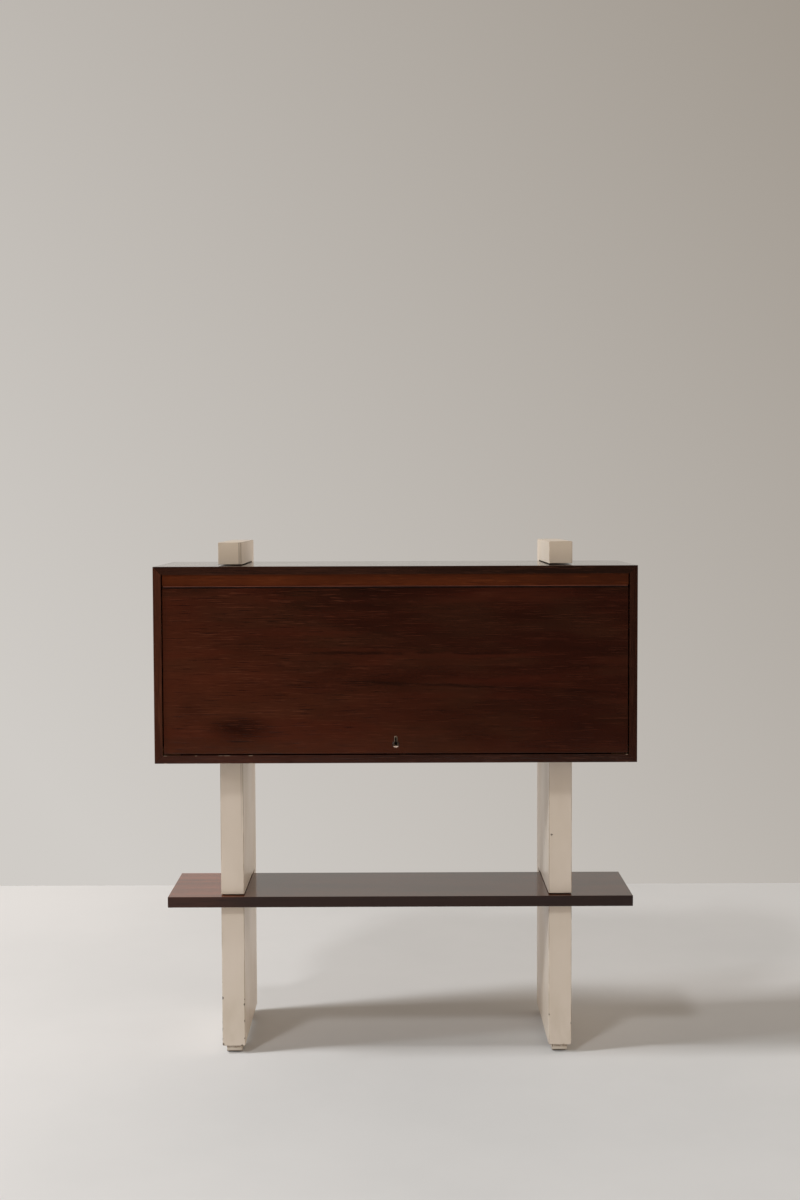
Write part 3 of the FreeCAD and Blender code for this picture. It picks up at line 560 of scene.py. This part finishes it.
plain_wood("stained_plywood", (2.0, 7.0, 4.0), shade(84, 54, 34), shade(124, 84, 54), wide_grain,
           "back_panel", "mitre_tongues")

# Top rail: a narrow strip of lighter, redder rosewood over the flap, doweled up into the top board.
# The dowels are plain beech, like the two flap stops glued inside the case.

rail_tones = (shade(40, 15, 7), shade(68, 30, 14), shade(94, 45, 22), shade(116, 62, 34))
# Painted shade for the rail's right end.
rail_shade_red = shade(40, 17, 9)


def rail_shade_towards_right(tree, place, distance, colour):
    """Painted shade: darker by degrees towards the right end, away from the light."""
    share = rise(tree, parts_of(tree, place)[0], -0.5, 0.6, 0.0, 0.45)
    return tint(tree, share, colour, rail_shade_red)


rosewood("rail_rosewood", "top_rail", (15.0, 3.0, 2.0), rail_tones, marks=rail_shade_towards_right)
stops = [side + "_flap_stop" for side in sides]
plain_wood("beech", (6.0, 1.0, 9.0), shade(150, 112, 76), shade(190, 150, 108), fine_grain,
           "rail_dowels", *stops)

# Piano hinge: brass leaves with rolled knuckles on one long pin, let in between rail and flap.
# Only the barrel shows when the flap is shut; its top has a painted highlight.

barrel_low, barrel_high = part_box("hinge_pin")
barrel_height = (barrel_low.z + barrel_high.z) / 2
blackened, blackest, barrel_highlight_brass = shade(30, 13, 8), shade(20, 8, 5), shade(98, 50, 34)


def hinge_brass(*nodes):
    """Brass gone nearly black, with a painted highlight of dull pinkish brown on the upper side of its
    barrel.
    """
    material, tree, shader = new_finish("hinge_brass", {"Metallic": 0.1, "Specular IOR Level": 0.15})
    place = object_place(tree)
    tarnish, brush = place_group(tree, worn_metal, {"Place": place})
    height = parts_of(tree, place)[2]
    # Painted highlight along the barrel's upper side.
    upper = rise(tree, height, barrel_height + 0.0003, barrel_height + 0.0013)
    patchy = rise(tree, cloud(tree, place, (9, 9, 9)), 0.3, 0.6, 0.55, 1.0)
    colour = tint(tree, tarnish, blackened, blackest)
    colour = tint(tree, sums(tree, "MULTIPLY", upper, patchy), colour, barrel_highlight_brass)
    dull = sums(tree, "MULTIPLY_ADD", tarnish, 0.15, 0.45)
    roughness = sums(tree, "MULTIPLY_ADD", brush, brush_spread, dull)
    normal = relief(tree, brush, brush_depth)
    feed(tree, shader, {"Base Color": colour, "Roughness": roughness, "Normal": normal})
    dress(material, *nodes)


hinge_brass("hinge_rail_leaf", "hinge_flap_leaf", "hinge_pin", "rail_hinge_screws", "flap_hinge_screws")

# Flap: one wide rosewood-veneered panel, with a darker knot low on the left and two wandering dark veins.
# It lifts about the piano hinge and locks into the bottom board.

flap_tones = (shade(16, 6, 4), shade(27, 10, 6), shade(55, 23, 14), shade(106, 60, 43))
lit_lower_left_wood, hazy_wood, ruddy_wood = shade(92, 46, 28), shade(60, 38, 24), shade(76, 30, 18)
knot_brown, vein_black = shade(36, 12, 6), shade(20, 8, 6)
smudges = ((-0.388, 0.847, 0.078, 0.036, 0.86), (-0.508, 0.893, 0.040, 0.026, 0.32),
           (-0.070, 0.957, 0.16, 0.03, 0.3))
veins = ((1.034, 0.0, -0.2, 0.34), (0.959, -0.045, -0.13, 0.56))
vein_swing, shake = 0.016, 0.9
down_slope, left_slope, flap_middle = 1.6, 0.9, 0.99


def flap_marks(tree, place, distance, colour):
    """Lighter towards the lower left, partly the veneer's tone and partly painted light from the left, hazy
    and ruddy in patches, a soft dark oval for the knot and each smudge, given by its middle, its half sizes
    and its strength, and a dark line for each vein, given by its height at the middle, its slope and its
    ends."""
    xyz = parts_of(tree, place)
    across, height = xyz[0], xyz[2]
    shaken = sums(tree, "MULTIPLY_ADD", cloud(tree, place, (6, 6, 24)), shake, -shake / 2)
    below_middle = sums(tree, "MULTIPLY_ADD", height, -down_slope, down_slope * flap_middle)
    lower_left = sums(tree, "MULTIPLY_ADD", across, -left_slope, below_middle)
    # Partly painted light from the left: lighter towards the lower left.
    lower_left_light = rise(tree, sums(tree, "MULTIPLY_ADD", shaken, 0.5, lower_left), -0.3, 0.6, 0.0, 0.42)
    colour = tint(tree, lower_left_light, colour, lit_lower_left_wood)
    hazy = rise(tree, cloud(tree, place, (4, 4, 15), 2.0), 0.42, 0.66, 0.0, 0.22)
    colour = tint(tree, hazy, colour, hazy_wood)
    ruddy = rise(tree, cloud(tree, place, (2, 9, 21), 2.0), 0.5, 0.68, 0.0, 0.26)
    colour = tint(tree, ruddy, colour, ruddy_wood)
    for smudge_x, smudge_z, half_x, half_z, strength in smudges:
        out = vectors(tree, "SUBTRACT", place, (smudge_x, 0.0, smudge_z))
        flat = vectors(tree, "MULTIPLY", out, (1.0, 0.0, 1.0))
        halves = vectors(tree, "DIVIDE", flat, (half_x, 1.0, half_z))
        reach = add(tree, "VectorMath", {"operation": "LENGTH"}, {0: halves})["Value"]
        smudge = rise(tree, sums(tree, "MULTIPLY_ADD", shaken, 0.7, reach), 0.1, 1.4, strength, 0.0)
        colour = tint(tree, smudge, colour, knot_brown)
    wave = sums(tree, "MULTIPLY_ADD", cloud(tree, place, (7, 1, 1), 3.0), vein_swing, -vein_swing / 2)
    for middle, slope, start, end in veins:
        line_height = sums(tree, "ADD", sums(tree, "MULTIPLY_ADD", across, slope, middle), wave)
        off = sums(tree, "ABSOLUTE", sums(tree, "SUBTRACT", height, line_height))
        line = rise(tree, off, 0.0006, 0.0065, 0.55, 0.0)
        begun = rise(tree, across, start - 0.05, start + 0.08)
        ended = rise(tree, across, end - 0.12, end + 0.05, 1.0, 0.0)
        broken = sums(tree, "MULTIPLY", rise(tree, cloud(tree, place, (9, 1, 6)), 0.36, 0.58), begun)
        line = sums(tree, "MULTIPLY", sums(tree, "MULTIPLY", line, broken), ended)
        colour = tint(tree, line, colour, vein_black)
    return colour


rosewood("flap_rosewood", "flap_panel", (20.0, 6.0, 7.0), flap_tones,
         marks=flap_marks, fading=(-0.25, 0.15))

# Keyhole insert: a drawn nickel-plated rim pressed into the flap, its slot upwards.
# Its lip is rounded and its face slopes back into the wood; the lower rim has a painted highlight and the
# slot painted shade.

keyhole_low, keyhole_high = (np.array(corner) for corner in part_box("escutcheon"))
flap_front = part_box("flap_panel")[0].y
rim_wall, slot_half = 0.0031, 0.0022
rim_radius = (keyhole_high[0] - keyhole_low[0]) / 2
bow_radius = rim_radius - rim_wall
bow_height = keyhole_low[2] + rim_radius
slot_height = keyhole_high[2] - rim_wall - slot_half
nickel, brown_nickel, neck_nickel = shade(58, 40, 32), shade(42, 27, 21), shade(112, 95, 80)
# Painted highlight for the lower rim and painted shade for the slot.
inner_nickel, rim_highlight_nickel, slot_shade_black = shade(96, 80, 66), shade(250, 224, 208), shade(14, 10, 8)


def keyhole_nickel():
    """Nickel gone dark brown, greyer on the neck and inside, with painted shade, black, in the slot and a
    painted highlight on the lower rim."""
    material, tree, shader = new_finish("keyhole_nickel", {})
    place = object_place(tree)
    tarnish, brush = place_group(tree, worn_metal, {"Place": place})
    across, depth, height = parts_of(tree, place)
    # Painted highlight: the lower rim is made bright.
    bright = rise(tree, height, bow_height - 0.0068, bow_height - 0.0044, 1.0, 0.0)
    beside_slot = rise(tree, sums(tree, "ABSOLUTE", across), 0.0032, 0.0039, 1.0, 0.0)
    neck = sums(tree, "MULTIPLY", rise(tree, height, bow_height + 0.0035, bow_height + 0.0060), beside_slot)
    inside = rise(tree, depth, keyhole_low[1] + 0.0006, keyhole_low[1] + 0.0016)
    # Painted shade: the slot's inner walls are made black.
    slot = sums(tree, "MULTIPLY", inside, rise(tree, height, bow_height + 0.0005, bow_height + 0.0040))
    colour = tint(tree, tarnish, nickel, brown_nickel)
    colour = tint(tree, neck, colour, neck_nickel)
    colour = tint(tree, inside, colour, inner_nickel)
    colour = tint(tree, bright, colour, rim_highlight_nickel)
    colour = tint(tree, slot, colour, slot_shade_black)
    roughness = sums(tree, "MULTIPLY_ADD", brush, 0.1, rise(tree, bright, 0.0, 1.0, 0.34, 0.16))
    metallic = rise(tree, bright, 0.0, 1.0, 0.2, 0.45)
    feed(tree, shader, {"Base Color": colour, "Metallic": metallic, "Roughness": roughness})
    return material


rim_nickel = keyhole_nickel()


def keyhole_outline(bow, slot):
    """Points round a keyhole with a bow of one radius and a slot of one half width: the bow's arc,
    a straight side up to the slot, the slot's half circle and the other side down."""
    arc_steps, side_steps, top_steps = 40, 10, 16
    neck = np.arcsin(slot / bow)
    bow_turn = np.pi / 2 - neck - np.linspace(0, 1, arc_steps, endpoint=False) * (2 * np.pi - 2 * neck)
    neck_height = bow_height + bow * np.cos(neck)
    climb = np.linspace(0, 1, side_steps, endpoint=False)
    rise_to = neck_height + (slot_height - neck_height) * climb
    fall_to = slot_height + (neck_height - slot_height) * climb
    top_turn = np.pi - np.linspace(0, 1, top_steps, endpoint=False) * np.pi
    sideways = [bow * np.cos(bow_turn), -slot + 0 * climb, slot * np.cos(top_turn), slot + 0 * climb]
    upwards = [bow_height + bow * np.sin(bow_turn), rise_to, slot_height + slot * np.sin(top_turn), fall_to]
    return np.concatenate(sideways), np.concatenate(upwards)


def keyhole_rim():
    """The outline carried over a section: up the inner wall, over a quarter-round lip, down a long slope
    that runs out in the wood, back along the outer wall, and in again under the cup round the key's pin."""
    lip, sunk, cup_depth, cup_hole = 0.0005, 0.0003, 0.0030, 0.0033
    turn = np.linspace(0, np.pi / 2, 6)
    margins = np.concatenate([[0.0], lip * (1 - np.cos(turn)), [rim_wall, rim_wall]])
    front, back = keyhole_low[1], keyhole_high[1]
    cup = front + cup_depth
    lip_depths = front + lip * (1 - np.sin(turn))
    depths = np.concatenate([[cup], lip_depths, [flap_front + sunk, back, back, cup]])
    bows = np.concatenate([bow_radius + margins, [cup_hole, cup_hole]])
    slots = np.concatenate([slot_half + margins, [slot_half, slot_half]])
    rings = [keyhole_outline(bow, slot) for bow, slot in zip(bows, slots)]
    points = np.stack([[x, x * 0 + depth, z] for (x, z), depth in zip(rings, depths)])
    points = points.transpose(0, 2, 1)
    faces = strips(points.shape[0], points.shape[1], True)
    return points.reshape(-1, 3).tolist(), faces


rim_points, rim_faces = keyhole_rim()
new_piece("keyhole_rim", rim_points, rim_faces, rim_nickel, "flap", "escutcheon")

# Lock: a zinc-plated steel case and plate screwed behind the flap, with a drill pin for the key.
# Its brass bolt shoots down into a brass strike plate in the bottom board.

lock_nodes = ("lock_plate", "lock_case", "bolt_spring", "drill_pin")
lock_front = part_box("lock_case")[0].y
# Painted shade seen through the keyhole.
keyway_shade_black = shade(16, 12, 10)


def keyway_shade(tree, place, colour):
    """Painted shade, near black, on what lies just behind the keyhole."""
    xyz = parts_of(tree, place)
    across, depth = xyz[0], xyz[1]
    near = rise(tree, sums(tree, "ABSOLUTE", across), 0.010, 0.013, 1.0, 0.0)
    behind = rise(tree, depth, lock_front + 0.004, lock_front + 0.006, 1.0, 0.0)
    return tint(tree, sums(tree, "MULTIPLY", near, behind), colour, keyway_shade_black)


metal("lock_steel", shade(160, 154, 144), shade(104, 98, 90), 0.36, 0.3, *lock_nodes, marks=keyway_shade)
metal("bolt_brass", shade(196, 160, 96), shade(136, 104, 60), 0.28, 0.2, "lock_bolt", "strike_plate")

# Stays: a nickel-plated slotted arm at each end of the flap, riveted to a bracket on the flap.
# It slides on a stud with a friction nut, on a plate screwed to the case side.

stay_parts = ("plate", "washer", "nut", "arm", "bracket", "rivet")
stay_nodes = [f"{side}_stay_{part}" for side in sides for part in stay_parts]
metal("stay_nickel", shade(196, 190, 180), shade(144, 136, 124), 0.26, 0.2, *stay_nodes)

# Stop buffers: felt glued to the front of each flap stop.
# The flap shuts softly against them.

for side in sides:
    felt_slab(side + "_stop_buffer", depth_axis)

# Shelf: a thick rosewood-veneered board that lies loose in the uprights' lower slots.
# Painted light makes its left end redder and lighter, and painted shade darkens a duller strip on its front
# face.

shelf_tones = (shade(28, 13, 10), shade(60, 31, 20), shade(94, 53, 34), shade(120, 76, 56))
shelf_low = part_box("shelf")[0]
# Painted light for the shelf's left end, painted shade for its front face.
lit_end_red, front_shade_brown, fringe = shade(136, 76, 56), shade(28, 8, 5), 0.16


def lit_left_end(tree, place, distance, colour):
    """Painted light: redder and lighter towards the left end, where the light falls, broken up along the
    grain.
    """
    across = parts_of(tree, place)[0]
    broken = sums(tree, "MULTIPLY_ADD", cloud(tree, place, (5, 26, 26)), fringe, -fringe / 2)
    along = sums(tree, "ADD", across, broken)
    share = rise(tree, along, shelf_low.x + 0.08, shelf_low.x + 0.26, 1.0, 0.0)
    streaky = rise(tree, cloud(tree, place, (1.5, 46, 46)), 0.40, 0.60, 0.25, 0.85)
    return tint(tree, sums(tree, "MULTIPLY", share, streaky), colour, lit_end_red)


rosewood("shelf_rosewood", "shelf", (27.0, 9.0, 11.0), shelf_tones, marks=lit_left_end, front_shade=front_shade_brown)

# Studio: a pale floor with painted shade greying it towards the right, a low and a high soft lamp on the
# left, and a weak one towards the front.
# The camera stands where the photograph was taken, with a 50 mm lens on a 24 by 36 mm frame.

floor_side, floor_back = 4.2, 1.78
floor_points = [(-floor_side, -floor_side, 0), (floor_side, -floor_side, 0),
                (floor_side, floor_back, 0), (-floor_side, floor_back, 0)]
floor_mesh = bpy.data.meshes.new("floor")
floor_mesh.from_pydata(floor_points, [], [(0, 1, 2, 3)])
floor = bpy.data.objects.new("floor", floor_mesh)
bpy.context.collection.objects.link(floor)
floor_pale, floor_shaded_grey = shade(226, 227, 230), shade(203, 205, 208)
floor_constants = {"Roughness": 0.9, "Specular IOR Level": 0.1}
floor_finish, floor_tree, floor_shader = new_finish("pale_floor", floor_constants)
floor_place = object_place(floor_tree)
patches = cloud(floor_tree, floor_place, (0.9, 0.9, 1), 5.0, 0.6)
trodden = rise(floor_tree, patches, 0.35, 0.7, 0.0, 0.2)
# Painted shade: the floor greys towards the right, away from the lamps.
floor_shade_rightwards = rise(floor_tree, parts_of(floor_tree, floor_place)[0], -1.5, 0.1, 0.0, 0.8)
floor_shade_and_wear = sums(floor_tree, "ADD", floor_shade_rightwards, trodden)
floor_colour = tint(floor_tree, floor_shade_and_wear, floor_pale, floor_shaded_grey)
feed(floor_tree, floor_shader, {"Base Color": floor_colour})
floor_mesh.materials.append(floor_finish)


def lamp(name, place, target, size, power, colour):
    """A square soft lamp that faces a target."""
    light = bpy.data.lights.new(name, "AREA")
    light.size = size
    light.energy = power
    light.color = colour[:3]
    holder = bpy.data.objects.new(name, light)
    holder.location = place
    holder.rotation_euler = (Vector(target) - Vector(place)).to_track_quat("-Z", "Y").to_euler()
    bpy.context.collection.objects.link(holder)


lit_place = (0.0, 0.0, 0.6)
low_place, high_place, front_place = (-19.06, -4.75, 6.79), (-11.22, -2.39, 16.98), (-4.95, -8.57, 10.50)
cool_light, warm_light = shade(249, 255, 255), shade(255, 253, 250)
lamp("low_window", low_place, lit_place, size=2.2, power=1220.0, colour=cool_light)
lamp("high_window", high_place, lit_place, size=3.0, power=2000.0, colour=warm_light)
lamp("front_window", front_place, lit_place, size=1.4, power=370.0, colour=warm_light)

wall_shaded, wall_lit = shade(152, 143, 132), shade(208, 204, 199)
mirrored_dark, mirrored_lit = shade(44, 40, 36), shade(208, 203, 196)
front_fill, back_fill = (0.57, 0.49, 0.39, 1.0), (1.50, 1.26, 1.02, 1.0)
right_fill, top_fill = (1.72, 1.46, 1.18, 1.0), (0.04, 0.04, 0.04, 1.0)
world = bpy.data.worlds.new("studio")
world.use_nodes = True
bpy.context.scene.world = world
sky = world.node_tree
way_x, way_y, way_z = parts_of(sky, add(sky, "TexCoord", {}, {})["Generated"])
leftwards = sums(sky, "MULTIPLY_ADD", way_x, -1.1, 0.63)
downwards = sums(sky, "MULTIPLY", way_z, -0.9)
brighter = sums(sky, "ADD", leftwards, downwards)
backdrop = tint(sky, brighter, wall_shaded, wall_lit)
far_wall = tint(sky, sums(sky, "ADD", brighter, 0.3), wall_shaded, mirrored_lit)
room = tint(sky, rise(sky, way_y, -0.3, 0.3), mirrored_dark, far_wall)
seen = add(sky, "LightPath", {}, {})
mirrored = sums(sky, "MAXIMUM", seen["Is Glossy Ray"], seen["Is Transmission Ray"])
level = tint(sky, rise(sky, way_y, -0.5, 0.5), front_fill, back_fill)
level = tint(sky, rise(sky, way_x, 0.1, 0.9), level, right_fill)
fill = tint(sky, rise(sky, way_z, 0.0, 1.0), level, top_fill)
sky_colour = tint(sky, seen["Is Camera Ray"], tint(sky, mirrored, fill, room), backdrop)
sky.links.new(sky_colour, sky.nodes["Background"].inputs["Color"])

camera_place = (0.0060, -4.3365, 1.3907)
pitch, yaw, roll = math.radians(3.126), math.radians(0.076), math.radians(0.199)
lens = bpy.data.cameras.new("camera")
lens.lens = 50.0
lens.sensor_fit = "VERTICAL"
lens.sensor_height = 36.0
camera = bpy.data.objects.new("camera", lens)
turned_level = Matrix.Rotation(-yaw, 4, "Z") @ Matrix.Rotation(math.pi / 2 - pitch, 4, "X")
camera.matrix_world = Matrix.Translation(camera_place) @ turned_level @ Matrix.Rotation(-roll, 4, "Z")
bpy.context.collection.objects.link(camera)
bpy.context.scene.camera = camera
bpy.context.scene.view_settings.view_transform = "Standard"
